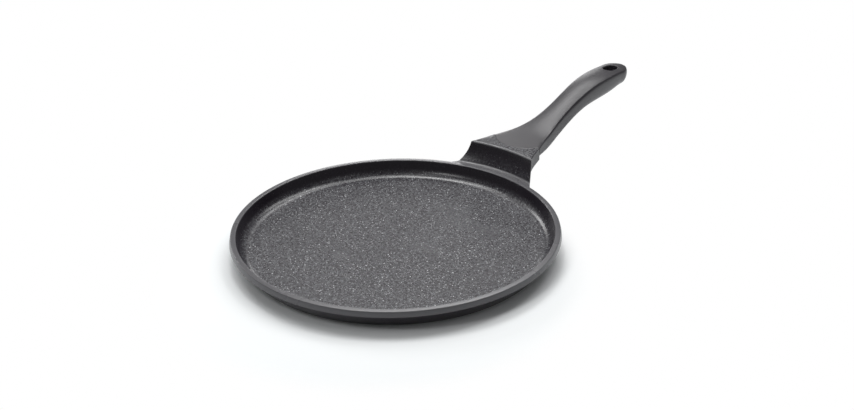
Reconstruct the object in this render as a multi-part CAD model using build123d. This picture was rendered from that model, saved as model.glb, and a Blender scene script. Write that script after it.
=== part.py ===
"""Cast aluminium crepe pan with a screwed-on moulded handle.

The pan stands on its turned base. Z points up from the table, X runs from the
pan's centre along the handle, and all sizes are in millimetres.
"""
from math import cos, radians, sin, sqrt
import os

from build123d import *

# Dish
rim_radius = 130.0          # outer edge of the rim's top
rim_band = 4.3              # width of the rim's top
rim_fall = 0.4              # the rim's top falls by this much to its outer edge
pan_height = 19.0           # table to the rim's inner edge
floor_thickness = 6.6
wall_lean = 4.0             # the inner wall leans in by this much at the floor
floor_fillet = 9.0          # between inner wall and floor
rim_chamfer = 0.7
collar_height = 5.0         # upright band under the rim
collar_flare = 1.0          # the band's foot stands out past the rim
collar_step = 1.1           # ledge under the band
collar_chamfer = 0.5
heel_setback = 12.0         # the outer wall slopes in by this much to the base
heel_fillet = 8.0           # between the outer wall and the base
base_land = 18.0            # flat ring from the heel's corner to the turned groove
base_groove_width = 2.4     # groove turned into the base
base_groove_depth = 0.5

# Bracket, cast in one with the dish
bracket_rise = 16.0         # flat top above the rim
face_foot_setback = 3.6     # front face from the rim, at rim height
face_top_setback = 12.2     # front face from the rim, at its top edge
face_hollow = 1.2           # the face curves in behind its chord
face_foot_fillet = 2.6
flare_half_width = 40.4     # where the bracket runs out into the rim
bracket_half_width = 27.2   # at the seam's foremost point, where the sides start to flare
bracket_taper = 0.313       # half-width lost for each length towards the handle
skirt_depth = 10.4          # side walls under the flat top
skirt_wall = 3.2
plate_thickness = 3.6
riser_wall = 3.4
bracket_edge_chamfer = 0.7  # front edge of the flat top

# Seam between bracket and handle
seam_setback = 18.6         # foremost point of the seam, from the rim
seam_radius = 27.0
seam_gap = 0.3

# Tang, cast on the bracket, that runs inside the handle
tang_width = 14.0
tang_thickness = 5.0
tang_drop = 2.6             # top of the tang below the flat top
tang_end = 14.0             # from the screw's axis to the tang's end
tang_round = 2.0
tang_clearance = 0.25

# Handle
handle_length = 166.4       # seam to tip
handle_rise = 18.9          # the grip stands this much above the bracket
handle_depth = 19.4         # shoulder to belly at the grip
grip_half_width = 12.25
grip_crown = 1.4            # the top bulges by this much between its shoulders
shoulder_round = 1.3
tip_radius = 12.0
slot_length = 15.0          # hanging slot
slot_width = 10.4
slot_from_tip = 17.2

# Fastening
screw_diameter = 5.0
screw_length = 8.0
screw_clearance = 0.05
screw_reach = 52.0          # screw axis, from the rim
head_diameter = 9.0
head_height = 2.6
head_recess_depth = 1.4
head_recess_width = 4.6
head_recess_arm = 1.1
head_chamfer = 0.5
through_clearance = 0.25
counterbore_clearance = 0.7
web_thickness = 2.3         # handle wall that the screw pulls against the tang
washer_thickness = 1.2
washer_diameter = 8.8
washer_bore = 5.3
washer_slit = 0.9

overrun = 1.0               # cuts run past the faces that they open

# Shape of the handle along its length. Each row holds the station as a share
# of the length, then shares of the grip's half-width, of the rise, of the
# depth and of the crown, and how full the belly's curve is.
grip_shares = (
    (0.17, 1.508, 0.004, 0.737, 0.40, 0.88),
    (0.25, 1.230, 0.070, 0.861, 0.60, 0.80),
    (0.34, 0.985, 0.240, 0.933, 0.75, 0.74),
    (0.43, 0.878, 0.458, 0.933, 0.85, 0.70),
    (0.52, 0.873, 0.684, 0.907, 0.93, 0.68),
    (0.61, 0.920, 0.875, 0.928, 1.00, 0.68),
    (0.70, 0.970, 0.984, 0.990, 1.00, 0.68),
    (0.79, 1.000, 1.000, 0.985, 1.00, 0.68),
    (0.86, 0.990, 0.968, 0.902, 0.95, 0.68),
)
neck_shares = (             # along, depth and fullness, where the neck runs on the taper
    (-0.06, 0.526, 0.97),
    (-0.01, 0.536, 0.97),
    (0.04, 0.562, 0.96),
    (0.10, 0.629, 0.93),
)
neck_crown_share = 0.14
end_width_share = 0.970     # where the round of the tip starts
end_depth_share = 0.799
end_rise_share = 0.921
end_crown_share = 0.85
end_fullness_share = 0.67
tip_drop_share = 0.055      # the shoulder sinks by this much round the tip
crease_slope_share = 0.10   # slope of the fine crease between top and shoulder
tip_angles = (0, 18, 36, 54, 70, 84)    # slices round the tip, 90 being its very end
top_strips = 6              # faces of the skin across the top
shoulder_strips = 3         # round each shoulder
flank_strips = 14           # from each shoulder to the middle of the belly

# Levels and radii that follow from the sizes above
rim_edge_z = pan_height - rim_fall
ledge_z = pan_height - collar_height
ledge_radius = rim_radius + collar_flare - collar_step
heel_radius = rim_radius - heel_setback
plateau_z = pan_height + bracket_rise
skirt_z = plateau_z - skirt_depth
tang_top_z = plateau_z - tang_drop
tang_bottom_z = tang_top_z - tang_thickness
front_radius = rim_radius + face_top_setback
seam_x = rim_radius + seam_setback
tip_x = seam_x + handle_length
handle_top_z = plateau_z + handle_rise + grip_crown
screw_x = rim_radius + screw_reach
tang_x = screw_x + tang_end
web_z = tang_bottom_z - tang_clearance - web_thickness


def taper_half_width(x):
    """Half-width of the bracket and of the handle's neck at a station."""
    return bracket_half_width - bracket_taper * (x - seam_x)


def dish():
    """The round dish, turned from one profile."""
    inner_radius = rim_radius - rim_band
    groove_outer = heel_radius - base_land
    groove_inner = groove_outer - base_groove_width
    heel = (heel_radius, 0)
    collar_foot = (rim_radius + collar_flare, ledge_z)
    floor_corner = (inner_radius - wall_lean, floor_thickness)
    rim_inner = (inner_radius, pan_height)
    rim_outer = (rim_radius, rim_edge_z)
    outline = Polyline(
        heel,
        (groove_outer, 0),
        (groove_outer, base_groove_depth),
        (groove_inner, base_groove_depth),
        (groove_inner, 0),
        (0, 0),
        (0, floor_thickness),
        floor_corner,
        rim_inner,
        rim_outer,
        collar_foot,
        (ledge_radius, ledge_z),
        close=True,
    )
    profile = make_face(outline)
    for corner, radius in ((heel, heel_fillet), (floor_corner, floor_fillet)):
        profile = fillet(profile.vertices().sort_by_distance(corner)[0], radius)
    for corner, length in (
        (rim_inner, rim_chamfer),
        (rim_outer, rim_chamfer),
        (collar_foot, collar_chamfer),
    ):
        profile = chamfer(profile.vertices().sort_by_distance(corner)[0], length)
    return revolve(Plane.XZ * profile, Axis.Z)


def bracket_plan(wall=0.0):
    """Outline of the bracket from above, drawn in by a wall where one is given."""
    flare_x = sqrt(rim_radius ** 2 - flare_half_width ** 2)
    far_x = seam_x + seam_radius
    bend = (seam_x, bracket_half_width - wall)
    flare_end = (flare_x, flare_half_width - wall)
    side = Line((far_x, taper_half_width(far_x) - wall), bend)
    flare = TangentArc(bend, flare_end, tangent=(-1, bracket_taper))
    root_x = flare_x - rim_band
    root = Polyline(flare_end, (root_x, flare_half_width - wall), (root_x, 0))
    half = side + flare + root + Line((root_x, 0), (far_x, 0)) + Line((far_x, 0), side @ 0)
    half_face = make_face(half)
    return half_face + mirror(half_face, Plane.XZ)


def seam_plan(radius):
    """Plan region behind the seam: a round front and everything behind it."""
    centre_x = seam_x + seam_radius
    reach = handle_length + overrun
    behind = Pos(centre_x, 0) * Rectangle(reach, radius * 2, align=(Align.MIN, Align.CENTER))
    return Pos(centre_x, 0) * Circle(radius) + behind


def riser_back(z):
    """Radius of the riser's rear face at a height."""
    lean = (face_top_setback - face_foot_setback) / (plateau_z - rim_edge_z)
    across = riser_wall * sqrt(1 + lean ** 2)
    return rim_radius + face_foot_setback + across + lean * (z - rim_edge_z)


def bracket():
    """Hollow bracket: curved riser, flat top, side walls, web and tang."""
    foot = (rim_radius + face_foot_setback, rim_edge_z)
    top = (front_radius, plateau_z)
    far = seam_x + seam_radius
    root_radius = rim_radius - rim_band / 2
    face = SagittaArc(foot, top, -face_hollow)
    rest = Polyline(
        top,
        (far, plateau_z),
        (far, skirt_z),
        (riser_back(skirt_z), skirt_z),
        (riser_back(rim_edge_z), rim_edge_z),
        (rim_radius + collar_flare, ledge_z + collar_chamfer),
        (root_radius, ledge_z + collar_chamfer),
        (root_radius, rim_edge_z),
        foot,
    )
    section = make_face(face + rest)
    section = fillet(section.vertices().sort_by_distance(foot)[0], face_foot_fillet)
    section = chamfer(section.vertices().sort_by_distance(top)[0], bracket_edge_chamfer)
    outer = revolve(Plane.XZ * section, Axis.Z)
    outer &= extrude(bracket_plan(), plateau_z + overrun)
    outer -= extrude(seam_plan(seam_radius + seam_gap), plateau_z + overrun)

    ceiling = plateau_z - plate_thickness
    core = make_face(Polyline(
        (riser_back(skirt_z - overrun), skirt_z - overrun),
        (riser_back(ceiling), ceiling),
        (far, ceiling),
        (far, skirt_z - overrun),
        close=True,
    ))
    pocket = revolve(Plane.XZ * core, Axis.Z)
    pocket &= extrude(bracket_plan(skirt_wall), plateau_z)
    pocket -= extrude(seam_plan(seam_radius + seam_gap + skirt_wall), plateau_z)
    web = Pos(seam_x, 0, 0) * Box(
        handle_length, tang_width, plateau_z, align=(Align.CENTER, Align.CENTER, Align.MIN)
    )
    return outer - (pocket - web)


def tang():
    """Flat tongue of the casting that the handle slides over."""
    start_x = riser_back(tang_top_z)
    length = tang_x - start_x
    blade = Box(length, tang_width, tang_thickness, align=(Align.MIN, Align.CENTER, Align.MIN))
    end_edges = blade.edges().filter_by(Axis.Z).group_by(Axis.X)[-1]
    blade = fillet(end_edges, tang_round)
    hole = Cylinder(
        screw_diameter / 2 + screw_clearance,
        tang_thickness + overrun,
        align=(Align.CENTER, Align.CENTER, Align.MIN),
    )
    return Pos(start_x, 0, tang_bottom_z) * (blade - Pos(screw_x - start_x, 0, 0) * hole)


def pan_body():
    """Dish, bracket and tang as one casting."""
    return dish() + bracket() + tang()


def strips(curve, count):
    """Straight runs along a curve, so that the skin's faces stay narrow and light."""
    points = [curve @ (step / count) for step in range(count + 1)]
    return [Line(start, end) for start, end in zip(points, points[1:])]


def handle_section(x, half_width, shoulder_z, depth, crown, fullness, edge):
    """One D-shaped slice: crowned top, tight shoulders and a round belly."""
    flat = half_width - edge
    dip = edge * (2 * crown / flat + crease_slope_share)
    belly = depth - edge
    reach = fullness * belly

    def side(sign):
        shoulder = Bezier((sign * flat, 0), (sign * half_width, -dip), (sign * half_width, -edge))
        flank = Bezier(
            (sign * half_width, -edge),
            (sign * half_width, -edge - reach),
            (sign * fullness * half_width, -depth),
            (0, -depth),
        )
        return strips(shoulder, shoulder_strips) + strips(flank, flank_strips)

    top = Bezier((-flat, 0), (0, 2 * crown), (flat, 0))
    outline = Face(Wire(strips(top, top_strips) + side(1) + side(-1)))
    frame = Plane(origin=(x, 0, shoulder_z), x_dir=(0, 1, 0), z_dir=(1, 0, 0))
    return frame * outline


def handle_stations():
    """Size of the handle's slice at each station, from neck to tip."""
    neck_z = plateau_z - grip_crown * neck_crown_share
    rise = handle_rise
    stations = []
    for along, depth, fullness in neck_shares:
        x = seam_x + along * handle_length
        stations.append((
            x,
            taper_half_width(x),
            neck_z,
            handle_depth * depth,
            grip_crown * neck_crown_share,
            fullness,
            shoulder_round,
        ))
    for along, width, height, depth, crown, fullness in grip_shares:
        stations.append((
            seam_x + along * handle_length,
            grip_half_width * width,
            neck_z + rise * height,
            handle_depth * depth,
            grip_crown * crown,
            fullness,
            shoulder_round,
        ))
    for angle in tip_angles:
        shrink = cos(radians(angle))
        ahead = sin(radians(angle))
        stations.append((
            tip_x - tip_radius + tip_radius * ahead,
            grip_half_width * end_width_share * shrink,
            neck_z + rise * (end_rise_share - tip_drop_share * ahead),
            handle_depth * end_depth_share * shrink,
            grip_crown * end_crown_share * shrink,
            end_fullness_share,
            shoulder_round * shrink,
        ))
    return stations


def handle():
    """Moulded handle with its socket, screw hole and hanging slot."""
    slices = [handle_section(*station) for station in handle_stations()]
    body = loft(slices)
    body &= extrude(seam_plan(seam_radius), handle_top_z + overrun)

    start_x = seam_x - overrun
    socket = Box(
        tang_x + tang_clearance - start_x,
        tang_width + 2 * tang_clearance,
        tang_thickness + 2 * tang_clearance,
        align=(Align.MIN, Align.CENTER, Align.MIN),
    )
    body -= Pos(start_x, 0, tang_bottom_z - tang_clearance) * socket

    bore = Cylinder(
        screw_diameter / 2 + through_clearance,
        web_thickness + overrun * 2,
        align=(Align.CENTER, Align.CENTER, Align.MIN),
    )
    body -= Pos(screw_x, 0, web_z - overrun) * bore
    counterbore = Cylinder(
        head_diameter / 2 + counterbore_clearance,
        handle_depth,
        align=(Align.CENTER, Align.CENTER, Align.MAX),
    )
    body -= Pos(screw_x, 0, web_z) * counterbore

    slot = extrude(SlotOverall(slot_length, slot_width), handle_top_z + overrun)
    return body - Pos(tip_x - slot_from_tip, 0, 0) * slot


def handle_screw():
    """Low-head machine screw, driven from the handle's underside."""
    head_top = web_z - washer_thickness
    head = Cylinder(
        head_diameter / 2, head_height, align=(Align.CENTER, Align.CENTER, Align.MAX)
    )
    head = chamfer(head.edges().group_by(Axis.Z)[0], head_chamfer)
    shank = Cylinder(
        screw_diameter / 2, screw_length, align=(Align.CENTER, Align.CENTER, Align.MIN)
    )
    cross = Rectangle(head_recess_width, head_recess_arm) + Rectangle(
        head_recess_arm, head_recess_width
    )
    recess = Pos(0, 0, -head_height) * extrude(cross, head_recess_depth)
    return Pos(screw_x, 0, head_top) * (head + shank - recess)


def spring_washer():
    """Split washer between the screw's head and the handle."""
    ring = Circle(washer_diameter / 2) - Circle(washer_bore / 2)
    slit = Rectangle(
        washer_diameter, washer_slit, align=(Align.MIN, Align.CENTER)
    )
    return Pos(screw_x, 0, web_z - washer_thickness) * extrude(ring - slit, washer_thickness)


os.makedirs("parts", exist_ok=True)
for name, solid in (
    ("pan_body", pan_body()),
    ("handle", handle()),
    ("handle_screw", handle_screw()),
    ("spring_washer", spring_washer()),
):
    export_step(solid, f"parts/{name}.step")
    print(name, "volume", round(solid.volume), "solids", len(solid.solids()))
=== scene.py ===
"""Crepe pan with a stone-effect coating and a moulded handle, dressed for the studio."""
import bisect
import math

import bmesh
import bpy
from mathutils import Euler, Matrix, Vector


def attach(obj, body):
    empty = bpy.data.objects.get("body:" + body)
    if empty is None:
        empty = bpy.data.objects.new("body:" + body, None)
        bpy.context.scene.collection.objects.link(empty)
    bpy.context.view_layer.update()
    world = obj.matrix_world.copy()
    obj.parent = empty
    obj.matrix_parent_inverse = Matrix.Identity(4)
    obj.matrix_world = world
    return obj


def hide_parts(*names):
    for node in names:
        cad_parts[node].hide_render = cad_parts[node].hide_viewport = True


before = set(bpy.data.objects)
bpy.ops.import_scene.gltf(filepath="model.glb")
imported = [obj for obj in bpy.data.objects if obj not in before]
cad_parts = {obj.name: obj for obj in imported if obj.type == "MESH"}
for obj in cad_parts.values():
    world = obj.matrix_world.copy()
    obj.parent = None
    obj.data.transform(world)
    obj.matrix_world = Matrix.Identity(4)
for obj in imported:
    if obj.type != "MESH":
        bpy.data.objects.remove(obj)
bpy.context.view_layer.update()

# The camera stands where it stood for the photograph, a long lens looking down the handle.
CAMERA_PLACE = (-1.13779, -0.96194, 0.79688)
CAMERA_TURN = (63.0603, 1.13745, -51.3382)
CAMERA_LENS = 90.0
FAR_SIDE = Vector((0.77, 0.64, 0.0)).normalized()     # level, from the camera over the pan
RIGHT_SIDE = Vector((0.64, -0.77, 0.0)).normalized()


def make_camera():
    data = bpy.data.cameras.new("camera")
    data.lens = CAMERA_LENS
    data.sensor_width = 36.0
    camera = bpy.data.objects.new("camera", data)
    camera.location = CAMERA_PLACE
    camera.rotation_euler = Euler([math.radians(angle) for angle in CAMERA_TURN])
    bpy.context.scene.collection.objects.link(camera)
    bpy.context.scene.camera = camera


make_camera()
scene = bpy.context.scene
scene.view_settings.view_transform = "Standard"


def node(tree, kind, place=(0, 0), **settings):
    """Adds a node. Settings are its properties or, where they name a socket, that socket's value."""
    made = tree.nodes.new(kind)
    made.location = place
    for key, value in settings.items():
        if hasattr(made, key):
            setattr(made, key, value)
        else:
            made.inputs[key.replace("_", " ")].default_value = value
    return made


def math_node(tree, operation, first, second=None, third=None):
    """One step of arithmetic on masks. Each value is a socket or a plain number."""
    made = tree.nodes.new("ShaderNodeMath")
    made.operation = operation
    for socket, value in zip(made.inputs, (first, second, third)):
        if value is None:
            continue
        if isinstance(value, (int, float)):
            socket.default_value = value
        else:
            tree.links.new(value, socket)
    return made.outputs[0]


def blend_colours(tree, factor, first, second):
    """Mixes two colours by a mask. Each is a socket or a plain colour."""
    made = tree.nodes.new("ShaderNodeMix")
    made.data_type = "RGBA"
    for socket, value in ((made.inputs[0], factor), (made.inputs[6], first), (made.inputs[7], second)):
        if isinstance(value, (tuple, float, int)):
            socket.default_value = value
        else:
            tree.links.new(value, socket)
    return made.outputs[2]


def ramp(tree, value, low, high, start=0.0, end=1.0):
    """Turns a value between two limits into a smooth mask."""
    made = tree.nodes.new("ShaderNodeMapRange")
    made.interpolation_type = "SMOOTHSTEP"
    made.inputs["From Min"].default_value = low
    made.inputs["From Max"].default_value = high
    made.inputs["To Min"].default_value = start
    made.inputs["To Max"].default_value = end
    tree.links.new(value, made.inputs["Value"])
    return made.outputs[0]


def new_group(name, sockets_in, sockets_out):
    """An empty shader group with its sockets. Each is a name, a kind and, coming in, a value."""
    group = bpy.data.node_groups.new(name, "ShaderNodeTree")
    for label, kind, value in sockets_in:
        socket = group.interface.new_socket(name=label, in_out="INPUT", socket_type=kind)
        if value is not None:
            socket.default_value = value
    for label, kind in sockets_out:
        group.interface.new_socket(name=label, in_out="OUTPUT", socket_type=kind)
    return group, group.nodes.new("NodeGroupInput"), group.nodes.new("NodeGroupOutput")


# Shares of a chip's radius: its least size, the spread of sizes above that, and its soft edge
CHIP_LEAST, CHIP_SPREAD, CHIP_EDGE = 0.7, 0.6, 0.5


def scattered_chips(group, vector, scale, share, radius, falloff):
    """Round chips, one to a cell at most, and each of its own size and strength."""
    cells = node(group, "ShaderNodeTexVoronoi")
    group.links.new(vector, cells.inputs["Vector"])
    group.links.new(scale, cells.inputs["Scale"])
    shade = node(group, "ShaderNodeSeparateColor")
    group.links.new(cells.outputs["Color"], shade.inputs[0])
    size = math_node(group, "MULTIPLY_ADD", shade.outputs[1], radius * CHIP_SPREAD, radius * CHIP_LEAST)
    depth = math_node(group, "SUBTRACT", size, cells.outputs["Distance"])
    inside = ramp(group, depth, 0.0, radius * CHIP_EDGE)
    kept = math_node(group, "LESS_THAN", shade.outputs[0], share)
    strength = math_node(group, "POWER", shade.outputs[2], falloff)
    return math_node(group, "MULTIPLY", math_node(group, "MULTIPLY", inside, kept), strength)


def speckle_group():
    """Fine grain, dim flecks and a few bright chips, as sprayed on a stone-effect coating."""
    group, inp, out = new_group(
        "stone_speckle",
        (
            ("Vector", "NodeSocketVector", None),
            ("Cover", "NodeSocketFloat", 1.0),
            ("Base", "NodeSocketColor", (0.0084, 0.0050, 0.0104, 1.0)),
            ("Grain", "NodeSocketColor", (0.058, 0.059, 0.065, 1.0)),
            ("Flecks", "NodeSocketColor", (0.270, 0.275, 0.290, 1.0)),
            ("Chips", "NodeSocketColor", (0.60, 0.61, 0.63, 1.0)),
            ("Grain Scale", "NodeSocketFloat", 483.0),
            ("Fleck Scale", "NodeSocketFloat", 893.0),
            ("Chip Scale", "NodeSocketFloat", 440.0),
        ),
        (("Color", "NodeSocketColor"), ("Height", "NodeSocketFloat")),
    )
    vector = inp.outputs["Vector"]
    grain = node(group, "ShaderNodeTexNoise", Detail=1.0, Roughness=0.7)
    group.links.new(vector, grain.inputs["Vector"])
    group.links.new(inp.outputs["Grain Scale"], grain.inputs["Scale"])
    cover = inp.outputs["Cover"]
    grain_mask = math_node(group, "MULTIPLY", ramp(group, grain.outputs[0], 0.34, 0.63), cover)
    flecks = scattered_chips(group, vector, inp.outputs["Fleck Scale"], 0.9, 0.385, 2.0)
    flecks = math_node(group, "MULTIPLY", flecks, cover)
    chips = scattered_chips(group, vector, inp.outputs["Chip Scale"], 0.6, 0.20, 1.5)
    chips = math_node(group, "MULTIPLY", chips, cover)
    ground = blend_colours(group, grain_mask, inp.outputs["Base"], inp.outputs["Grain"])
    dim = blend_colours(group, flecks, ground, inp.outputs["Flecks"])
    colour = blend_colours(group, chips, dim, inp.outputs["Chips"])
    raised = math_node(group, "ADD", chips, math_node(group, "MULTIPLY", grain.outputs[0], 0.7))
    group.links.new(colour, out.inputs["Color"])
    group.links.new(raised, out.inputs["Height"])
    return group


def mottle_group():
    """Slow drift of shade and sheen, with a fine orange peel for the surface."""
    group, inp, out = new_group(
        "mottle",
        (
            ("Vector", "NodeSocketVector", None),
            ("Peel Size", "NodeSocketFloat", 900.0),
            ("Drift Size", "NodeSocketFloat", 30.0),
            ("Roughness", "NodeSocketFloat", 0.4),
            ("Spread", "NodeSocketFloat", 0.08),
        ),
        (("Drift", "NodeSocketFloat"), ("Roughness", "NodeSocketFloat"), ("Height", "NodeSocketFloat")),
    )
    drift = node(group, "ShaderNodeTexNoise", Detail=4.0)
    group.links.new(inp.outputs["Vector"], drift.inputs["Vector"])
    group.links.new(inp.outputs["Drift Size"], drift.inputs["Scale"])
    peel = node(group, "ShaderNodeTexNoise", Detail=1.5)
    group.links.new(inp.outputs["Vector"], peel.inputs["Vector"])
    group.links.new(inp.outputs["Peel Size"], peel.inputs["Scale"])
    centred = math_node(group, "SUBTRACT", drift.outputs[0], 0.5)
    moved = math_node(group, "MULTIPLY", centred, inp.outputs["Spread"])
    rough = math_node(group, "ADD", moved, inp.outputs["Roughness"])
    group.links.new(drift.outputs[0], out.inputs["Drift"])
    group.links.new(rough, out.inputs["Roughness"])
    group.links.new(peel.outputs[0], out.inputs["Height"])
    return group


SPECKLE = speckle_group()
MOTTLE = mottle_group()


def new_material(name):
    """A material with its Principled shader and the object's own coordinates."""
    material = bpy.data.materials.new(name)
    material.use_nodes = True
    tree = material.node_tree
    tree.nodes.clear()
    out = node(tree, "ShaderNodeOutputMaterial", (900, 0))
    shader = node(tree, "ShaderNodeBsdfPrincipled", (600, 0))
    tree.links.new(shader.outputs[0], out.inputs[0])
    coords = node(tree, "ShaderNodeTexCoord", (-1000, 0))
    return material, tree, shader, coords.outputs["Object"]


def place_group(tree, group, vector, **values):
    made = tree.nodes.new("ShaderNodeGroup")
    made.node_tree = group
    tree.links.new(vector, made.inputs["Vector"])
    for key, value in values.items():
        made.inputs[key.replace("_", " ")].default_value = value
    return made


def bump(tree, height, distance, strength):
    made = node(tree, "ShaderNodeBump", Strength=strength, Distance=distance)
    tree.links.new(height, made.inputs["Height"])
    return made.outputs[0]


RIM_SHEEN_TONE = (0.080, 0.078, 0.085, 1.0)      # painted light: a paler tone on the rim and its collar stands in for the sheen and bounced light they catch
EDGE_HIGHLIGHT_TONE = (0.180, 0.178, 0.186, 1.0)     # painted highlight: paler still along the bracket's front edge
TURNED_TONES = ((0.46, 0.46, 0.47, 1.0), (0.60, 0.60, 0.61, 1.0))     # bare metal of the base
TURNED_ROUGHER = 0.12                      # the bare metal's roughness above the coating's
RING_PITCH = 9000.0                        # rings of the turned base, in radians per metre
RESIN_TONES = ((0.0215, 0.0195, 0.0240, 1.0), (0.0275, 0.0250, 0.0300, 1.0))
ZINC_TONES = ((0.50, 0.50, 0.49, 1.0), (0.66, 0.65, 0.62, 1.0))

# Where the coating and its painted light and shade change, in metres: a reach is taken from the pan's axis,
# a height from the table
STEEP_SHADE_SLOPE, STEEP_SHARE = (0.30, 0.98), 0.05     # upward part of the normal, and what steep faces keep of the flecks: painted shade that darkens them
RIM_REACH = (0.1252, 0.1260)                      # the flecks stop at the rim's inner edge
BRACKET_HEIGHT = (0.0192, 0.0200)                 # and start again on the bracket above the rim
COLLAR_HEIGHTS = (0.013, 0.014)                   # the painted light on the rim starts at the collar's lower edge
# where the painted highlight along the bracket's front edge lies: its reach, spread and height
EDGE_REACH, EDGE_SPREAD, EDGE_HEIGHT = 0.1423, (0.0003, 0.0010), (0.0336, 0.0341)
BASE_SKIN = (0.0002, 0.0004)                      # the turned base ends at this height


def coating_and_painted_light_masks(tree, place):
    """Flecks are full on level faces, thin on steep ones, none on the rim; thinning them darkens the steep
    faces as painted shade.

    Gives that mask, then the masks of the rim and collar's painted light, of the painted highlight on the
    bracket's front edge and of the turned base underneath, and the fine rings of its turning.
    """
    coords = node(tree, "ShaderNodeTexCoord")
    facing = node(tree, "ShaderNodeSeparateXYZ")
    tree.links.new(coords.outputs["Normal"], facing.inputs[0])
    # painted shade: steep faces keep only a share of the flecks, which darkens them
    level = ramp(tree, facing.outputs[2], *STEEP_SHADE_SLOPE, STEEP_SHARE, 1.0)
    where = node(tree, "ShaderNodeSeparateXYZ")
    tree.links.new(place, where.inputs[0])
    flat = node(tree, "ShaderNodeCombineXYZ")
    tree.links.new(where.outputs[0], flat.inputs[0])
    tree.links.new(where.outputs[1], flat.inputs[1])
    radius = node(tree, "ShaderNodeVectorMath", operation="LENGTH")
    tree.links.new(flat.outputs[0], radius.inputs[0])
    reach, height = radius.outputs["Value"], where.outputs[2]
    inside = ramp(tree, reach, *RIM_REACH, 1.0, 0.0)
    kept = math_node(tree, "MAXIMUM", inside, ramp(tree, height, *BRACKET_HEIGHT))
    bare = math_node(tree, "SUBTRACT", 1.0, kept)
    # painted light: the rim and collar above the collar's lower edge get a paler tone for their sheen
    rim = math_node(tree, "MULTIPLY", bare, ramp(tree, height, *COLLAR_HEIGHTS))
    off_edge = math_node(tree, "ABSOLUTE", math_node(tree, "SUBTRACT", reach, EDGE_REACH))
    near_edge = ramp(tree, off_edge, *EDGE_SPREAD, 1.0, 0.0)
    # painted highlight: a pale band along the bracket's front top edge
    edge = math_node(tree, "MULTIPLY", near_edge, ramp(tree, height, *EDGE_HEIGHT))
    under = ramp(tree, height, *BASE_SKIN, 1.0, 0.0)
    rings = math_node(tree, "SINE", math_node(tree, "MULTIPLY", reach, RING_PITCH))
    return math_node(tree, "MULTIPLY", level, kept), rim, edge, under, rings


def stone_coating():
    """Speckled coating of the casting, painted shade on steep faces, painted light on rim, collar and
    bracket edge, base left bare.
    """
    material, tree, shader, place = new_material("stone_coating")
    speckle = place_group(tree, SPECKLE, place)
    cover, rim, edge, under, rings = coating_and_painted_light_masks(tree, place)
    # the flecks' cover, thinned on steep faces as painted shade
    tree.links.new(cover, speckle.inputs["Cover"])
    # painted light on the rim and collar
    coated = blend_colours(tree, rim, speckle.outputs["Color"], RIM_SHEEN_TONE)
    # painted highlight along the bracket's front edge
    coated = blend_colours(tree, edge, coated, EDGE_HIGHLIGHT_TONE)
    turned = blend_colours(tree, ramp(tree, rings, -1.0, 1.0), *TURNED_TONES)
    colour = blend_colours(tree, under, coated, turned)
    tree.links.new(under, shader.inputs["Metallic"])
    mottle = place_group(tree, MOTTLE, place, Roughness=0.27, Spread=0.03, Drift_Size=22.0)
    shade = ramp(tree, mottle.outputs["Drift"], 0.3, 0.7, 0.97, 1.03)
    scaled = node(tree, "ShaderNodeVectorMath", operation="SCALE")
    tree.links.new(colour, scaled.inputs[0])
    tree.links.new(shade, scaled.inputs["Scale"])
    tree.links.new(scaled.outputs[0], shader.inputs["Base Color"])
    rough = math_node(tree, "MULTIPLY_ADD", under, TURNED_ROUGHER, mottle.outputs["Roughness"])
    tree.links.new(rough, shader.inputs["Roughness"])
    tree.links.new(bump(tree, speckle.outputs["Height"], 0.00006, 0.5), shader.inputs["Normal"])
    return material


def handle_resin():
    """Satin moulded resin, nearly black, with a faint orange peel."""
    material, tree, shader, place = new_material("handle_resin")
    mottle = place_group(tree, MOTTLE, place, Roughness=0.34, Spread=0.04, Peel_Size=1500.0)
    colour = blend_colours(tree, mottle.outputs["Drift"], *RESIN_TONES)
    tree.links.new(colour, shader.inputs["Base Color"])
    tree.links.new(mottle.outputs["Roughness"], shader.inputs["Roughness"])
    tree.links.new(bump(tree, mottle.outputs["Height"], 0.00002, 0.35), shader.inputs["Normal"])
    return material


def zinc_steel():
    """Zinc-plated steel of the screw and its washer."""
    material, tree, shader, place = new_material("zinc_steel")
    mottle = place_group(
        tree, MOTTLE, place, Roughness=0.32, Spread=0.2, Drift_Size=400.0, Peel_Size=2500.0
    )
    colour = blend_colours(tree, mottle.outputs["Drift"], *ZINC_TONES)
    tree.links.new(colour, shader.inputs["Base Color"])
    tree.links.new(mottle.outputs["Roughness"], shader.inputs["Roughness"])
    shader.inputs["Metallic"].default_value = 1.0
    tree.links.new(bump(tree, mottle.outputs["Height"], 0.00002, 0.3), shader.inputs["Normal"])
    return material


STONE = stone_coating()
RESIN = handle_resin()
STEEL = zinc_steel()


def dress(name, material):
    """Gives a CAD node its material."""
    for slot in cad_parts[name].material_slots:
        slot.material = material


dress("handle_screw", STEEL)
dress("spring_washer", STEEL)


MM = 0.001
CUT_LOW, CUT_HIGH, CUT_SIDE, CUT_LENGTH = 5.0, 45.0, 40.0, 60.0     # cutters reach past the casting

# Dish, in millimetres
RIM_RADIUS, RIM_BAND, PAN_TOP, RIM_EDGE_Z = 130.0, 4.3, 19.0, 18.6
FLOOR_THICKNESS, FLOOR_FILLET, WALL_LEAN = 6.6, 9.0, 4.0
COLLAR_HEIGHT, COLLAR_FLARE, COLLAR_STEP, COLLAR_ROUND = 5.0, 1.0, 1.1, 0.5
RIM_OUTER_ROUND, RIM_INNER_ROUND = 0.6, 0.9
HEEL_SETBACK, HEEL_FILLET = 12.0, 8.0
BASE_LAND, GROOVE_WIDTH, GROOVE_DEPTH, GROOVE_ROUND = 18.0, 2.4, 0.5, 0.2
DISH_STEPS, SEAM_STEPS = 288, 128

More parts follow.
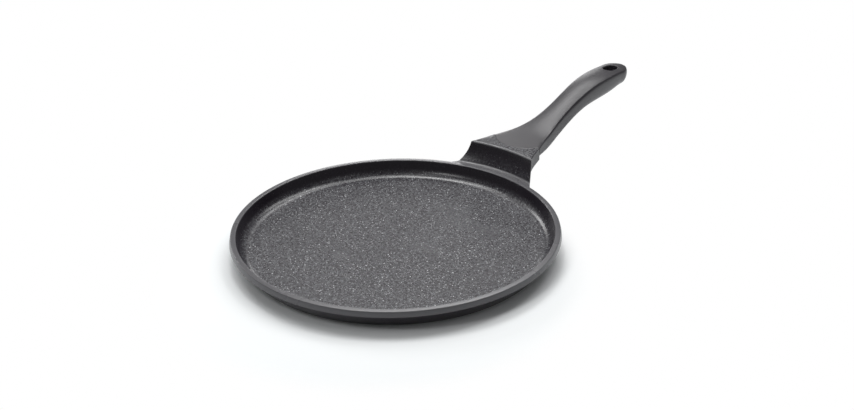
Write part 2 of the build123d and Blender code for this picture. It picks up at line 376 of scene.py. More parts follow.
# Bracket
PLATEAU_Z, SKIRT_DEPTH, PLATE_THICKNESS = 35.0, 10.4, 3.6
FACE_FOOT, FACE_TOP, FACE_HOLLOW, FACE_FILLET = 3.6, 12.2, 1.2, 2.6
FLARE_HALF_WIDTH, BRACKET_HALF_WIDTH, BRACKET_TAPER = 40.4, 27.2, 0.313
SKIRT_WALL, RISER_WALL, EDGE_ROUND = 3.2, 3.4, 0.9
ROOT_REACH, ROOT_Z = 0.8, 14.6      # the bracket's back ends inside the collar here
FOOT_SINK = 0.02                    # the foot's fillet starts just under the rim's surface
BRACKET_SWEEP = 44.0                # the bracket is turned through these degrees, then trimmed
SEAM_X, SEAM_RADIUS, SEAM_GAP, WING_END = 148.6, 27.0, 0.12, 160.2
TANG_WIDTH, TANG_TOP, TANG_BOTTOM, TANG_END, TANG_GAP = 14.0, 32.4, 27.4, 196.0, 0.25
TANG_CORNER = 2.0
SCREW_X, SCREW_WEB_Z = 182.0, 24.85
THREAD_RADIUS, BORE_RADIUS, COUNTERBORE_RADIUS = 2.55, 2.75, 5.2
BORE_LOW, BORE_HIGH = 20.0, 28.0    # from inside the counterbore into the socket

# Handle
HANDLE_LENGTH, HANDLE_RISE, HANDLE_DEPTH = 166.4, 18.9, 19.4
GRIP_HALF_WIDTH, GRIP_CROWN, TIP_RADIUS = 12.25, 1.38, 12.0
SHOULDER_ROUND, SHOULDER_DROP = 1.4, 2.7    # how far the shoulder's round runs inwards and down
SHOULDER_INSET, SHOULDER_DIP = 0.27, 0.24   # shares of those two that place the bend between
SHOULDER_RUN = 24.0     # the shoulder's round grows from the bracket's to its own over this length
TIP_X = SEAM_X + HANDLE_LENGTH
NECK_CROWN = GRIP_CROWN * 0.14
NECK_Z = PLATEAU_Z - NECK_CROWN
SLOT_X, SLOT_LENGTH, SLOT_WIDTH, SLOT_ROUND = TIP_X - 17.2, 15.0, 10.4, 0.9
# Station along the handle, then shares of its half-width, rise, depth, crown and fullness
GRIP_STATIONS = (
    (0.17, 1.508, 0.004, 0.737, 0.40, 0.88),
    (0.25, 1.230, 0.070, 0.861, 0.60, 0.80),
    (0.34, 0.985, 0.240, 0.933, 0.75, 0.74),
    (0.43, 0.878, 0.458, 0.933, 0.85, 0.70),
    (0.52, 0.873, 0.684, 0.907, 0.93, 0.68),
    (0.61, 0.920, 0.875, 0.928, 1.00, 0.68),
    (0.70, 0.970, 0.984, 0.990, 1.00, 0.68),
    (0.79, 1.000, 1.000, 0.985, 1.00, 0.68),
    (0.86, 0.990, 0.968, 0.902, 0.95, 0.68),
)
NECK_STATIONS = ((-0.06, 0.526, 0.97), (-0.01, 0.536, 0.97), (0.04, 0.562, 0.96), (0.10, 0.629, 0.93))
END_WIDTH, END_DEPTH, END_RISE, END_CROWN, END_FULLNESS, TIP_DROP = 0.970, 0.799, 0.921, 0.85, 0.67, 0.055


def clear_selection():
    """Leaves nothing selected, so that the next operator acts on its own piece alone."""
    if bpy.context.object and bpy.context.object.mode != "OBJECT":
        bpy.ops.object.mode_set(mode="OBJECT")
    bpy.ops.object.select_all(action="DESELECT")


def activate(piece):
    clear_selection()
    piece.select_set(True)
    bpy.context.view_layer.objects.active = piece


def pick(kind, rule):
    """In edit mode, selects the vertices, edges or faces that a rule holds for."""
    bpy.ops.mesh.select_mode(type=kind)
    bpy.ops.mesh.select_all(action="DESELECT")
    mesh = bmesh.from_edit_mesh(bpy.context.object.data)
    elements = {"VERT": mesh.verts, "EDGE": mesh.edges, "FACE": mesh.faces}[kind]
    count = 0
    for element in elements:
        if rule(element):
            element.select_set(True)
            count += 1
    mesh.select_flush_mode()
    bmesh.update_edit_mesh(bpy.context.object.data)
    return count


def settle(piece):
    """Puts the piece's place in its mesh and closes its seams."""
    activate(piece)
    bpy.ops.object.transform_apply(location=True, rotation=True, scale=True)
    bpy.ops.object.mode_set(mode="EDIT")
    bpy.ops.mesh.select_all(action="SELECT")
    bpy.ops.mesh.remove_doubles(threshold=1e-6)
    bpy.ops.mesh.normals_make_consistent(inside=False)
    bpy.ops.object.mode_set(mode="OBJECT")


def combine(piece, other, operation):
    """Adds another shape to a piece, or cuts it away. The other shape is used up."""
    activate(piece)
    modifier = piece.modifiers.new(operation.lower(), "BOOLEAN")
    modifier.operation = operation
    modifier.solver = "EXACT"
    modifier.object = other
    bpy.ops.object.modifier_apply(modifier=modifier.name)
    bpy.data.objects.remove(other, do_unlink=True)


def smooth(piece, degrees=32.0):
    activate(piece)
    bpy.ops.object.shade_smooth_by_angle(angle=math.radians(degrees))


def rounded(points, radii, steps=6):
    """Replaces the named corners of an outline, each by an arc of its radius."""
    outline = []
    for index, point in enumerate(points):
        radius = radii.get(index)
        if radius is None:
            outline.append(point)
            continue
        here = Vector(point)
        before = (Vector(points[index - 1]) - here).normalized()
        after = (Vector(points[(index + 1) % len(points)]) - here).normalized()
        half = before.angle(after) / 2
        centre = here + (before + after).normalized() * (radius / math.sin(half))
        start = here + before * (radius / math.tan(half)) - centre
        end = here + after * (radius / math.tan(half)) - centre
        turn = start.angle_signed(end)
        for step in range(steps + 1):
            arm = start.copy()
            arm.rotate(Matrix.Rotation(-turn * step / steps, 2))
            outline.append(tuple(centre + arm))
    return outline


def draw_profile(name, points):
    """Extrudes one vertex along a profile in the plane of X and Z."""
    clear_selection()
    first = Vector((points[0][0], 0.0, points[0][1])) * MM
    bpy.ops.mesh.primitive_plane_add(size=MM, location=first)
    piece = bpy.context.object
    piece.name = name
    bpy.ops.object.mode_set(mode="EDIT")
    bpy.ops.mesh.select_mode(type="VERT")
    bpy.ops.mesh.merge(type="CENTER")
    for (x0, z0), (x1, z1) in zip(points, points[1:]):
        step = Vector((x1 - x0, 0.0, z1 - z0)) * MM
        bpy.ops.mesh.extrude_region_move(TRANSFORM_OT_translate={"value": step})
    bpy.ops.object.mode_set(mode="OBJECT")
    bpy.ops.object.transform_apply(location=True, rotation=True, scale=True)
    return piece


def turn_profile(name, points, steps=DISH_STEPS, angle=math.tau, start=0.0):
    """Spins a profile about the pan's axis."""
    piece = draw_profile(name, points)
    piece.rotation_euler = (0.0, 0.0, -start)
    bpy.ops.object.transform_apply(location=True, rotation=True, scale=True)
    bpy.ops.object.mode_set(mode="EDIT")
    bpy.ops.mesh.select_all(action="SELECT")
    bpy.ops.mesh.spin(steps=steps, angle=angle, center=(0.0, 0.0, 0.0), axis=(0.0, 0.0, 1.0))
    bpy.ops.object.mode_set(mode="OBJECT")
    settle(piece)
    return piece


def raise_plan(name, outline, low, high):
    """A flat outline in the plane of X and Y, extruded upwards."""
    clear_selection()
    bpy.ops.mesh.primitive_circle_add(vertices=len(outline), radius=MM, fill_type="NGON")
    piece = bpy.context.object
    piece.name = name
    for vertex, (x, y) in zip(piece.data.vertices, outline):
        vertex.co = Vector((x, y, low)) * MM
    bpy.ops.object.mode_set(mode="EDIT")
    bpy.ops.mesh.select_all(action="SELECT")
    bpy.ops.mesh.extrude_region_move(
        TRANSFORM_OT_translate={"value": Vector((0.0, 0.0, high - low)) * MM}
    )
    bpy.ops.object.mode_set(mode="OBJECT")
    settle(piece)
    return piece


def box(name, low, high):
    """A block between two corners."""
    clear_selection()
    low, high = Vector(low) * MM, Vector(high) * MM
    bpy.ops.mesh.primitive_cube_add(size=1.0, location=(low + high) / 2, scale=high - low)
    piece = bpy.context.object
    piece.name = name
    settle(piece)
    return piece


def column(name, place, radius, low, high, steps=64):
    clear_selection()
    bpy.ops.mesh.primitive_cylinder_add(
        vertices=steps, radius=radius * MM, depth=(high - low) * MM,
        location=Vector((place[0], place[1], (low + high) / 2)) * MM,
    )
    piece = bpy.context.object
    piece.name = name
    settle(piece)
    return piece


def taper_half_width(x):
    return BRACKET_HALF_WIDTH - BRACKET_TAPER * (x - SEAM_X)


def dish():
    """The round dish, turned from one profile."""
    ledge_z = PAN_TOP - COLLAR_HEIGHT
    inner = RIM_RADIUS - RIM_BAND
    heel = RIM_RADIUS - HEEL_SETBACK
    groove = heel - BASE_LAND
    corners = [
        (0.0, 0.0),
        (groove - GROOVE_WIDTH, 0.0),
        (groove - GROOVE_WIDTH, GROOVE_DEPTH),
        (groove, GROOVE_DEPTH),
        (groove, 0.0),
        (heel, 0.0),
        (RIM_RADIUS + COLLAR_FLARE - COLLAR_STEP, ledge_z),
        (RIM_RADIUS + COLLAR_FLARE, ledge_z),
        (RIM_RADIUS, RIM_EDGE_Z),
        (inner, PAN_TOP),
        (inner - WALL_LEAN, FLOOR_THICKNESS),
        (0.0, FLOOR_THICKNESS),
    ]
    radii = {
        1: GROOVE_ROUND, 4: GROOVE_ROUND, 5: HEEL_FILLET, 7: COLLAR_ROUND,
        8: RIM_OUTER_ROUND, 9: RIM_INNER_ROUND, 10: FLOOR_FILLET,
    }
    return turn_profile("pan", rounded(corners, radii, steps=8))


def bracket_outline(wall=0.0):
    """The bracket from above: side tapering to the handle, arc flaring into the rim."""
    far_x = SEAM_X + SEAM_RADIUS
    corner = Vector((SEAM_X, taper_half_width(SEAM_X) - wall))
    flare_x = math.sqrt(RIM_RADIUS ** 2 - FLARE_HALF_WIDTH ** 2)
    flare = Vector((flare_x, FLARE_HALF_WIDTH - wall))
    heading = Vector((-1.0, BRACKET_TAPER)).normalized()
    normal = Vector((heading.y, -heading.x))
    chord = flare - corner
    radius = chord.length_squared / (2 * chord.dot(normal))
    centre = corner + normal * radius
    sweep = (corner - centre).angle_signed(flare - centre)
    half = [(far_x, taper_half_width(far_x) - wall)]
    for step in range(13):
        arm = corner - centre
        arm.rotate(Matrix.Rotation(-sweep * step / 12, 2))
        half.append(tuple(centre + arm))
    half.append((flare_x - RIM_BAND / 2, FLARE_HALF_WIDTH - wall))
    return half + [(x, -y) for x, y in reversed(half)]


def riser_back(z):
    lean = (FACE_TOP - FACE_FOOT) / (PLATEAU_Z - RIM_EDGE_Z)
    return RIM_RADIUS + FACE_FOOT + RISER_WALL * math.sqrt(1 + lean ** 2) + lean * (z - RIM_EDGE_Z)


def face_curve(steps=14):
    """The bracket's hollow front face from its foot on the rim to its top edge."""
    foot = Vector((RIM_RADIUS + FACE_FOOT, RIM_EDGE_Z))
    top = Vector((RIM_RADIUS + FACE_TOP, PLATEAU_Z))
    chord = top - foot
    radius = (chord.length_squared / 4 + FACE_HOLLOW ** 2) / (2 * FACE_HOLLOW)
    outward = Vector((-chord.y, chord.x)).normalized()
    centre = (foot + top) / 2 + outward * (radius - FACE_HOLLOW)
    sweep = (foot - centre).angle_signed(top - centre)
    curve = []
    for step in range(steps + 1):
        arm = foot - centre
        arm.rotate(Matrix.Rotation(-sweep * step / steps, 2))
        curve.append(tuple(centre + arm))
    return curve


def foot_fillet(curve, steps=8):
    """Rounds the foot of the face into the rim's flat top, just under its surface."""
    level = RIM_EDGE_Z - FOOT_SINK
    best = None
    for index in range(1, len(curve) - 1):
        point = Vector(curve[index])
        along = (Vector(curve[index + 1]) - Vector(curve[index - 1])).normalized()
        outward = Vector((-along.y, along.x))
        centre = point + outward * FACE_FILLET
        gap = abs(centre.y - level - FACE_FILLET)
        if best is None or gap < best[0]:
            best = (gap, index, Vector((centre.x, level + FACE_FILLET)))
    _, index, centre = best
    start, end = Vector((0.0, -FACE_FILLET)), Vector(curve[index]) - centre
    sweep = start.angle_signed(end)
    arc = []
    for step in range(steps):
        arm = start.copy()
        arm.rotate(Matrix.Rotation(-sweep * step / steps, 2))
        arc.append(tuple(centre + arm))
    return arc + curve[index:]


def from_seam(vertex):
    """How far a vertex stands from the round cut of the seam, in millimetres."""
    centre = SEAM_X + SEAM_RADIUS
    return abs(math.hypot(vertex.co.x / MM - centre, vertex.co.y / MM) - SEAM_RADIUS - SEAM_GAP)


def on_top_edge(edge):
    """An edge of the bracket's flat top, but for those at the seam."""
    level = all(abs(vertex.co.z - PLATEAU_Z * MM) < 2e-5 for vertex in edge.verts)
    flat = [abs(face.normal.z) > 0.99 for face in edge.link_faces]
    at_seam = all(from_seam(vertex) < 0.02 for vertex in edge.verts)
    at_end = all(vertex.co.x > (WING_END - 0.01) * MM for vertex in edge.verts)
    return level and not all(flat) and not at_seam and not at_end


def bracket():
    """Hollow bracket with its curved riser, flat top, side walls and web."""
    far = SEAM_X + SEAM_RADIUS
    skirt_z = PLATEAU_Z - SKIRT_DEPTH
    root = RIM_RADIUS - RIM_BAND / 2
    profile = foot_fillet(face_curve()) + [
        (far, PLATEAU_Z),
        (far, skirt_z),
        (riser_back(skirt_z), skirt_z),
        (riser_back(RIM_EDGE_Z), RIM_EDGE_Z),
        (RIM_RADIUS + ROOT_REACH, ROOT_Z),
        (root, ROOT_Z),
    ]
    profile.append((root, profile[0][1]))
    profile.append(profile[0])
    sweep = math.radians(BRACKET_SWEEP)
    piece = turn_profile("bracket", profile, steps=48, angle=sweep, start=-sweep / 2)
    cap_ends(piece)
    combine(piece, raise_plan("plan", bracket_outline(), CUT_LOW, CUT_HIGH), "INTERSECT")
    seam = column("seam", (far, 0.0), SEAM_RADIUS + SEAM_GAP, CUT_LOW, CUT_HIGH, SEAM_STEPS)
    combine(piece, seam, "DIFFERENCE")
    blunt = box("wing_trim", (WING_END, -CUT_SIDE, CUT_LOW), (far, CUT_SIDE, CUT_HIGH))
    combine(piece, blunt, "DIFFERENCE")
    activate(piece)
    bpy.ops.object.mode_set(mode="EDIT")
    pick("EDGE", on_top_edge)
    bpy.ops.mesh.bevel(offset=EDGE_ROUND * MM, segments=4, affect="EDGES")
    bpy.ops.object.mode_set(mode="OBJECT")
    combine(piece, bracket_pocket(), "DIFFERENCE")
    return piece


def bracket_pocket():
    """The hollow under the bracket, on each side of its web."""
    far = SEAM_X + SEAM_RADIUS
    low, ceiling = PLATEAU_Z - SKIRT_DEPTH - 1.0, PLATEAU_Z - PLATE_THICKNESS
    profile = [(riser_back(low), low), (riser_back(ceiling), ceiling), (far, ceiling), (far, low)]
    profile.append(profile[0])
    sweep = math.radians(BRACKET_SWEEP)
    pocket = turn_profile("pocket", profile, steps=32, angle=sweep, start=-sweep / 2)
    cap_ends(pocket)
    inner = raise_plan("inner_plan", bracket_outline(SKIRT_WALL), CUT_LOW, CUT_HIGH)
    combine(pocket, inner, "INTERSECT")
    wall_radius = SEAM_RADIUS + SEAM_GAP + SKIRT_WALL
    back = column("back_wall", (far, 0.0), wall_radius, CUT_LOW, CUT_HIGH, SEAM_STEPS)
    combine(pocket, back, "DIFFERENCE")
    half = TANG_WIDTH / 2
    web = box("web", (SEAM_X - CUT_LENGTH, -half, CUT_LOW), (SEAM_X + CUT_LENGTH, half, CUT_HIGH))
    combine(pocket, web, "DIFFERENCE")
    return pocket


def cap_ends(piece):
    """Closes the two open ends of a shape spun part of the way round."""
    activate(piece)
    bpy.ops.object.mode_set(mode="EDIT")
    for side in (-1, 1):
        pick("EDGE", lambda edge: edge.is_boundary and all(v.co.y * side > 0 for v in edge.verts))
        bpy.ops.mesh.edge_face_add()
    bpy.ops.mesh.select_all(action="SELECT")
    bpy.ops.mesh.normals_make_consistent(inside=False)
    bpy.ops.object.mode_set(mode="OBJECT")


def tang():
    """Flat tongue that runs inside the handle and takes the screw."""
    half = TANG_WIDTH / 2
    blade = box("tang", (riser_back(TANG_TOP), -half, TANG_BOTTOM), (TANG_END, half, TANG_TOP))
    activate(blade)
    bpy.ops.object.mode_set(mode="EDIT")
    pick(
        "EDGE",
        lambda edge: all(v.co.x > (TANG_END - 1) * MM for v in edge.verts)
        and abs(edge.verts[0].co.z - edge.verts[1].co.z) > MM,
    )
    bpy.ops.mesh.bevel(offset=TANG_CORNER * MM, segments=6, affect="EDGES")
    bpy.ops.object.mode_set(mode="OBJECT")
    thread = column("thread_hole", (SCREW_X, 0.0), THREAD_RADIUS, CUT_LOW, CUT_HIGH, 48)
    combine(blade, thread, "DIFFERENCE")
    return blade


def pan():
    """Dish, bracket and tang as one casting."""
    piece = dish()
    combine(piece, bracket(), "UNION")
    combine(piece, tang(), "UNION")
    piece.name = "cast_pan"
    smooth(piece)
    return piece


def spline(knots, values, slope_start, slope_end):
    """Cubic through values at knots, with the slopes of its two ends."""
    count = len(knots)
    gaps = [b - a for a, b in zip(knots, knots[1:])]
    rows = [[0.0, 1.0, 0.0, slope_start]]
    for i in range(1, count - 1):
        left, right = gaps[i - 1], gaps[i]
        pull = 3 * (right * (values[i] - values[i - 1]) / left + left * (values[i + 1] - values[i]) / right)
        rows.append([right, 2 * (left + right), left, pull])
    rows.append([0.0, 1.0, 0.0, slope_end])
    for i in range(1, count):
        share = rows[i][0] / rows[i - 1][1]
        rows[i][1] -= share * rows[i - 1][2]
        rows[i][3] -= share * rows[i - 1][3]
    slopes = [0.0] * count
    slopes[-1] = rows[-1][3] / rows[-1][1]
    for i in range(count - 2, -1, -1):
        slopes[i] = (rows[i][3] - rows[i][2] * slopes[i + 1]) / rows[i][1]

    def value(x):
        i = min(max(bisect.bisect_right(knots, x) - 1, 0), count - 2)
        gap = gaps[i]
        t = (x - knots[i]) / gap
        low, high = values[i], values[i + 1]
        return (
            low * (1 + 2 * t) * (1 - t) ** 2
            + high * t * t * (3 - 2 * t)
            + gap * t * (1 - t) * (slopes[i] * (1 - t) - slopes[i + 1] * t)
        )

    return value


def handle_curves():
    """Half-width, shoulder height, depth, crown and fullness along the handle."""
    rows = []
    for along, depth, fullness in NECK_STATIONS:
        x = SEAM_X + along * HANDLE_LENGTH
        rows.append((x, taper_half_width(x), NECK_Z, HANDLE_DEPTH * depth, NECK_CROWN, fullness))
    for along, width, rise, depth, crown, fullness in GRIP_STATIONS:
        rows.append((
            SEAM_X + along * HANDLE_LENGTH,
            GRIP_HALF_WIDTH * width,
            NECK_Z + HANDLE_RISE * rise,
            HANDLE_DEPTH * depth,
            GRIP_CROWN * crown,
            fullness,
        ))
    rows.append((
        TIP_X - TIP_RADIUS,
        GRIP_HALF_WIDTH * END_WIDTH,
        NECK_Z + HANDLE_RISE * END_RISE,
        HANDLE_DEPTH * END_DEPTH,
        GRIP_CROWN * END_CROWN,
        END_FULLNESS,
    ))
    knots = [row[0] for row in rows]
    ends = (
        (-BRACKET_TAPER, 0.0),
        (0.0, -HANDLE_RISE * TIP_DROP / TIP_RADIUS),
        (0.0, 0.0),
        (0.0, 0.0),
        (0.0, 0.0),
    )
    return [
        spline(knots, [row[column + 1] for row in rows], *ends[column]) for column in range(len(ends))
    ]


HANDLE_CURVES = handle_curves()


def handle_station(x):
    """Size of the handle's slice at a station, the round of its tip included."""
    ahead = (x - TIP_X + TIP_RADIUS) / TIP_RADIUS
    if ahead <= 0:
        run = min(max((x - WING_END) / SHOULDER_RUN, 0.0), 1.0)
        grown = run * run * (3 - 2 * run)
        edge = EDGE_ROUND + (SHOULDER_ROUND - EDGE_ROUND) * grown
        drop = EDGE_ROUND + (SHOULDER_DROP - EDGE_ROUND) * grown
        return (*[curve(x) for curve in HANDLE_CURVES], edge, drop)
    shrink = math.sqrt(max(1 - ahead ** 2, 0.0))
    return (
        GRIP_HALF_WIDTH * END_WIDTH * shrink,
        NECK_Z + HANDLE_RISE * (END_RISE - TIP_DROP * ahead),
        HANDLE_DEPTH * END_DEPTH * shrink,
        GRIP_CROWN * END_CROWN * shrink,
        END_FULLNESS,
        SHOULDER_ROUND * shrink,
        SHOULDER_DROP * shrink,
    )


def bezier(points, t):
    """A point on the Bezier curve of the given control points."""
    while len(points) > 1:
        points = [
            ((1 - t) * ax + t * bx, (1 - t) * ay + t * by)
            for (ax, ay), (bx, by) in zip(points, points[1:])
        ]
    return points[0]


def slice_curves(x):
    """Top, right shoulder and right flank of the D-shaped slice at a station."""
    half_width, shoulder_z, depth, crown, fullness, edge, drop = handle_station(x)
    flat = half_width - edge
    reach = fullness * (depth - drop)
    top = ((-flat, 0.0), (0.0, 2 * crown), (flat, 0.0))
    bend = (half_width - SHOULDER_INSET * edge, -SHOULDER_DIP * drop)
    shoulder = ((flat, 0.0), bend, (half_width, -drop))
    flank = (
        (half_width, -drop),
        (half_width, -drop - reach),
        (fullness * half_width, -depth),
        (0.0, -depth),
    )
    return [[(y, shoulder_z + z) for y, z in curve] for curve in (top, shoulder, flank)]


TOP_STEPS, SHOULDER_STEPS, FLANK_STEPS = 16, 6, 18


def slice_point(x, index):
    """One of the points round the slice, counted from the middle of the top."""
    top, shoulder, flank = slice_curves(x)
    half = TOP_STEPS // 2 + SHOULDER_STEPS + FLANK_STEPS
    mirrored = index > half
    if mirrored:
        index = 2 * half - index
    if index <= TOP_STEPS // 2:
        y, z = bezier(top, 0.5 + index / TOP_STEPS)
    elif index <= TOP_STEPS // 2 + SHOULDER_STEPS:
        y, z = bezier(shoulder, (index - TOP_STEPS // 2) / SHOULDER_STEPS)
    else:
        y, z = bezier(flank, (index - TOP_STEPS // 2 - SHOULDER_STEPS) / FLANK_STEPS)
    return (-y if mirrored else y), z


RING_POINTS = 2 * (TOP_STEPS // 2 + SHOULDER_STEPS + FLANK_STEPS)
SEAM_BLEND = 50.0       # the slices straighten out over this length behind the seam
SEAM_EDGE = 0.2         # round of the handle's edge at the seam
SEAM_TRIES = 6          # each point of a slice is put back on its curve this many times
HANDLE_RUNS = 72        # slices from the seam to the start of the tip's round
TIP_ANGLES = (*range(5, 85, 5), 83.9)      # degrees round the tip, the last one close to its end


def slice_ring(x, inset=0.0):
    """The points of a slice. Near the seam it follows the seam's round front."""
    share = min(max((x - SEAM_X) / SEAM_BLEND, 0.0), 1.0)
    hold = 1 - share * share * (3 - 2 * share)
    ring = []
    for index in range(RING_POINTS):
        y, z = slice_point(x, index)
        place = x
        for _ in range(SEAM_TRIES):
            back = SEAM_RADIUS - math.sqrt(max(SEAM_RADIUS ** 2 - y * y, 0.0))
            place = x + hold * back
            y, z = slice_point(place, index)
        ring.append(Vector((place, y, z)))
    if inset:
        low, high = min(point.z for point in ring), max(point.z for point in ring)
        wide, middle, tall = max(point.y for point in ring), (low + high) / 2, (high - low) / 2
        for point in ring:
            point.y *= 1 - inset / wide
            point.z = middle + (point.z - middle) * (1 - inset / tall)
    return [point * MM for point in ring]


def handle_places():
    """Stations of the rings: close at the rounded seam edge and round the tip."""
    places = []
    for degrees in (0, 30, 60):
        turn = math.radians(degrees)
        places.append((SEAM_X + SEAM_EDGE * (1 - math.cos(turn)), SEAM_EDGE * (1 - math.sin(turn))))
    along = SEAM_X + SEAM_EDGE
    last = TIP_X - TIP_RADIUS
    for step in range(HANDLE_RUNS + 1):
        places.append((along + (last - along) * step / HANDLE_RUNS, 0.0))
    for degrees in TIP_ANGLES:
        places.append((last + TIP_RADIUS * math.sin(math.radians(degrees)), 0.0))
    return places


def seat_ring(mesh, layer, ring):
    """Moves each selected vertex to its own point of the slice."""
    for vertex in mesh.verts:
        if vertex.select:
            vertex.co = ring[vertex[layer]]


def close_front(mesh):
    """Covers the round front with upright strips from its top to its belly."""
    mesh.verts.ensure_lookup_table()
    count, half = RING_POINTS, RING_POINTS // 2
    for index in range(half):
        corners = [index, index + 1, (count - index - 1) % count, (count - index) % count]
        kept = list(dict.fromkeys(corners))
        mesh.faces.new([mesh.verts[i] for i in kept])


def handle_shell():
    """Extrudes the D-shaped slice from the seam to the tip, ring by ring."""
    clear_selection()
    places = handle_places()
    bpy.ops.mesh.primitive_circle_add(vertices=RING_POINTS, radius=MM)
    piece = bpy.context.object
    piece.name = "grip"
    bpy.ops.object.mode_set(mode="EDIT")
    bpy.ops.mesh.select_mode(type="VERT")
    bpy.ops.mesh.select_all(action="SELECT")
    mesh = bmesh.from_edit_mesh(piece.data)
    layer = mesh.verts.layers.int.new("seat")
    for index, vertex in enumerate(mesh.verts):
        vertex[layer] = index
    seat_ring(mesh, layer, slice_ring(*places[0]))
    bmesh.update_edit_mesh(piece.data)
    for place in places[1:]:
        bpy.ops.mesh.extrude_region_move(TRANSFORM_OT_translate={"value": (MM, 0.0, 0.0)})
        mesh = bmesh.from_edit_mesh(piece.data)
        seat_ring(mesh, mesh.verts.layers.int["seat"], slice_ring(*place))
        bmesh.update_edit_mesh(piece.data)
    bpy.ops.mesh.edge_face_add()
    mesh = bmesh.from_edit_mesh(piece.data)
    close_front(mesh)
    mesh.verts.layers.int.remove(mesh.verts.layers.int["seat"])
    bmesh.update_edit_mesh(piece.data)
    bpy.ops.object.mode_set(mode="OBJECT")
    settle(piece)
    return piece


def surface_z(x, y, under=False):
    """Height of the handle's top, or of its belly, over a point of the plan."""
    top, _, flank = slice_curves(x)
    curve, sign = (flank, -1) if under else (top, 1)
    low, high = 0.0, 1.0
    for _ in range(40):
        middle = (low + high) / 2
        if sign * bezier(curve, middle)[0] < sign * abs(y):
            low = middle
        else:
            high = middle
    return bezier(curve, (low + high) / 2)[1]


def slot_outline(grow=0.0, steps=20):
    """The hanging slot from above."""
    radius = SLOT_WIDTH / 2
    reach = (SLOT_LENGTH - SLOT_WIDTH) / 2
    outline = []
    for end, start in ((1, -90), (-1, 90)):
        for step in range(steps + 1):
            turn = math.radians(start + 180 * step / steps)
            outline.append((
                SLOT_X + end * reach + (radius + grow) * math.cos(turn),
                (radius + grow) * math.sin(turn),
            ))
    return outline


RIM_ANGLES = (0, 15, 30, 45, 60, 75)      # degrees round the slot's rim
RIM_RUN_OUT, CUTTER_REACH = 1.6, 6.0       # past the rim the cutter runs on outwards, then straight


def slot_cutter():
    """A column whose two ends flare out, so that the slot it cuts has rounded rims."""
    rings = []
    last = math.radians(RIM_ANGLES[-1])
    out = SLOT_ROUND * (1 - math.cos(last)) + RIM_RUN_OUT
    lift = RIM_RUN_OUT / math.tan(last) - SLOT_ROUND * (1 - math.sin(last))
    for under in (True, False):
        side = -1 if under else 1
        flare = []
        for degrees in RIM_ANGLES:
            turn = math.radians(degrees)
            grow = SLOT_ROUND * (1 - math.cos(turn))
            drop = SLOT_ROUND * (1 - math.sin(turn))
            flare.append([
                (x, y, surface_z(x, y, under) - side * drop) for x, y in slot_outline(grow)
            ])
        flare.append([
            (x, y, surface_z(x, y, under) + side * lift) for x, y in slot_outline(out)
        ])
        flare.append([(x, y, z + side * CUTTER_REACH) for x, y, z in flare[-1]])
        rings += flare[::-1] if under else flare
    clear_selection()
    bpy.ops.mesh.primitive_circle_add(vertices=len(rings[0]), radius=MM, fill_type="NGON")
    piece = bpy.context.object
    piece.name = "slot_cutter"
    bpy.ops.object.mode_set(mode="EDIT")
    bpy.ops.mesh.select_mode(type="FACE")
    bpy.ops.mesh.select_all(action="SELECT")
    mesh = bmesh.from_edit_mesh(piece.data)
    layer = mesh.verts.layers.int.new("seat")
    for index, vertex in enumerate(mesh.verts):
        vertex[layer] = index
    seat_ring(mesh, layer, [Vector(point) * MM for point in rings[0]])
    bmesh.update_edit_mesh(piece.data)
    for ring in rings[1:]:
        bpy.ops.mesh.extrude_region_move(TRANSFORM_OT_translate={"value": (0.0, 0.0, MM)})
        mesh = bmesh.from_edit_mesh(piece.data)
        seat_ring(mesh, mesh.verts.layers.int["seat"], [Vector(point) * MM for point in ring])
        bmesh.update_edit_mesh(piece.data)
    bpy.ops.object.mode_set(mode="OBJECT")
    settle(piece)
    return piece


def handle():
    """Moulded handle with its rounded slot, socket and screw hole."""
    piece = handle_shell()
    combine(piece, slot_cutter(), "DIFFERENCE")
    half = TANG_WIDTH / 2 + TANG_GAP
    socket = box(
        "socket",
        (SEAM_X - 1.0, -half, TANG_BOTTOM - TANG_GAP),
        (TANG_END + TANG_GAP, half, TANG_TOP + TANG_GAP),
    )
    combine(piece, socket, "DIFFERENCE")
    bore = column("bore", (SCREW_X, 0.0), BORE_RADIUS, BORE_LOW, BORE_HIGH, 48)
    combine(piece, bore, "DIFFERENCE")
    counterbore = column("counterbore", (SCREW_X, 0.0), COUNTERBORE_RADIUS, CUT_LOW, SCREW_WEB_Z, 64)
    combine(piece, counterbore, "DIFFERENCE")
    piece.name = "moulded_handle"
    smooth(piece)
    return piece


def finish_piece(piece, node_name, material):
    """Puts a modelled piece in place of its CAD node."""
    piece.data.materials.clear()
    piece.data.materials.append(material)
    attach(piece, "root")
    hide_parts(node_name)


finish_piece(pan(), "pan_body", STONE)
finish_piece(handle(), "handle", RESIN)


# The floor shows the pan's shadow round a point in front of the pan and to its left, in metres
SHADOW_BACK, SHADOW_LEFT, SHADOW_REACH, SHADOW_FADE = 0.045, 0.015, 0.140, 0.035


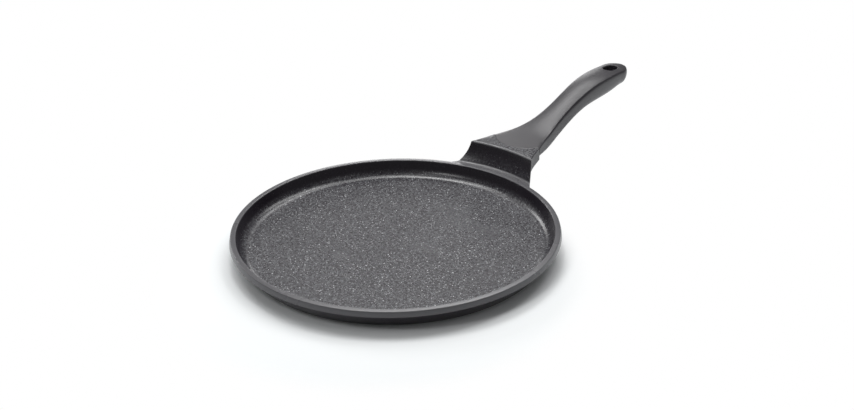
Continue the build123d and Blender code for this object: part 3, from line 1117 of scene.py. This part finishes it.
def make_stage():
    """A pale floor that keeps the shadow. Far from the pan it shows plain white to the camera."""
    bpy.ops.object.select_all(action="DESELECT")
    bpy.ops.mesh.primitive_plane_add(size=12.0, location=(0.0, 0.0, 0.0))
    floor = bpy.context.object
    floor.name = "floor"
    material = bpy.data.materials.new("floor_paper")
    material.use_nodes = True
    tree = material.node_tree
    tree.nodes.clear()
    out = node(tree, "ShaderNodeOutputMaterial")
    paper = node(tree, "ShaderNodeBsdfDiffuse", Color=(0.85, 0.87, 0.876, 1.0))
    white = node(tree, "ShaderNodeEmission", Color=(1.0, 1.0, 1.0, 1.0), Strength=1.0)
    mixed = node(tree, "ShaderNodeMixShader")
    coords = node(tree, "ShaderNodeTexCoord")
    reach = node(tree, "ShaderNodeVectorMath", operation="DISTANCE")
    tree.links.new(coords.outputs["Object"], reach.inputs[0])
    reach.inputs[1].default_value = FAR_SIDE * -SHADOW_BACK - RIGHT_SIDE * SHADOW_LEFT
    far = ramp(tree, reach.outputs["Value"], SHADOW_REACH, SHADOW_REACH + SHADOW_FADE)
    path = node(tree, "ShaderNodeLightPath")
    tree.links.new(math_node(tree, "MULTIPLY", far, path.outputs["Is Camera Ray"]), mixed.inputs[0])
    tree.links.new(paper.outputs[0], mixed.inputs[1])
    tree.links.new(white.outputs[0], mixed.inputs[2])
    tree.links.new(mixed.outputs[0], out.inputs[0])
    floor.data.materials.append(material)


# Soft boxes round the table: degrees to the right of the far side, degrees up, watts
SOFT_BOXES = (
    ("far_low", 0, 12, 3.7),
    ("far_left", -30, 28, 9.4),
    ("left", -50, 28, 0.8),
    ("far", 0, 44, 4.6),
    ("far_mid_right", 15, 44, 5.0),
    ("far_right", 50, 44, 6.5),
    ("high_left", -50, 60, 5.8),
    ("high_far_left", -30, 60, 2.7),
    ("high_main", -15, 60, 13.2),
    ("high_far", 0, 60, 2.8),
    ("high_far_right", 30, 60, 5.0),
    ("high_right", 50, 60, 6.6),
    ("top_far", 0, 76, 6.4),
    ("top_near_left", -120, 76, 2.4),
    ("near_left", -130, 50, 8.0),
    ("near_right", 130, 50, 1.2),
)
BOX_SIZE, BOX_DISTANCE = 0.6, 2.5
ROOM_LIGHT = 0.209      # light from the white room all round


def soft_box(name, azimuth, height, power):
    """A square soft box that faces the middle of the pan."""
    turn, lift = math.radians(azimuth), math.radians(height)
    level = FAR_SIDE * math.cos(turn) + RIGHT_SIDE * math.sin(turn)
    arm = level * math.cos(lift) + Vector((0.0, 0.0, math.sin(lift)))
    data = bpy.data.lights.new(name, "AREA")
    data.shape = "SQUARE"
    data.size = BOX_SIZE
    data.energy = power
    lamp = bpy.data.objects.new(name, data)
    lamp.location = arm * BOX_DISTANCE
    lamp.rotation_euler = arm.to_track_quat("Z", "Y").to_euler()
    scene.collection.objects.link(lamp)


def make_light():
    """Lights the soft boxes and the room. To the camera the room is plain white."""
    for box_settings in SOFT_BOXES:
        soft_box(*box_settings)
    world = bpy.data.worlds.new("studio")
    scene.world = world
    world.use_nodes = True
    tree = world.node_tree
    tree.nodes.clear()
    out = node(tree, "ShaderNodeOutputWorld")
    room = node(tree, "ShaderNodeBackground", Color=(1.0, 1.0, 1.0, 1.0), Strength=ROOM_LIGHT)
    white = node(tree, "ShaderNodeBackground", Color=(1.0, 1.0, 1.0, 1.0), Strength=1.0)
    mixed = node(tree, "ShaderNodeMixShader")
    path = node(tree, "ShaderNodeLightPath")
    tree.links.new(path.outputs["Is Camera Ray"], mixed.inputs[0])
    tree.links.new(room.outputs[0], mixed.inputs[1])
    tree.links.new(white.outputs[0], mixed.inputs[2])
    tree.links.new(mixed.outputs[0], out.inputs[0])


make_stage()
make_light()
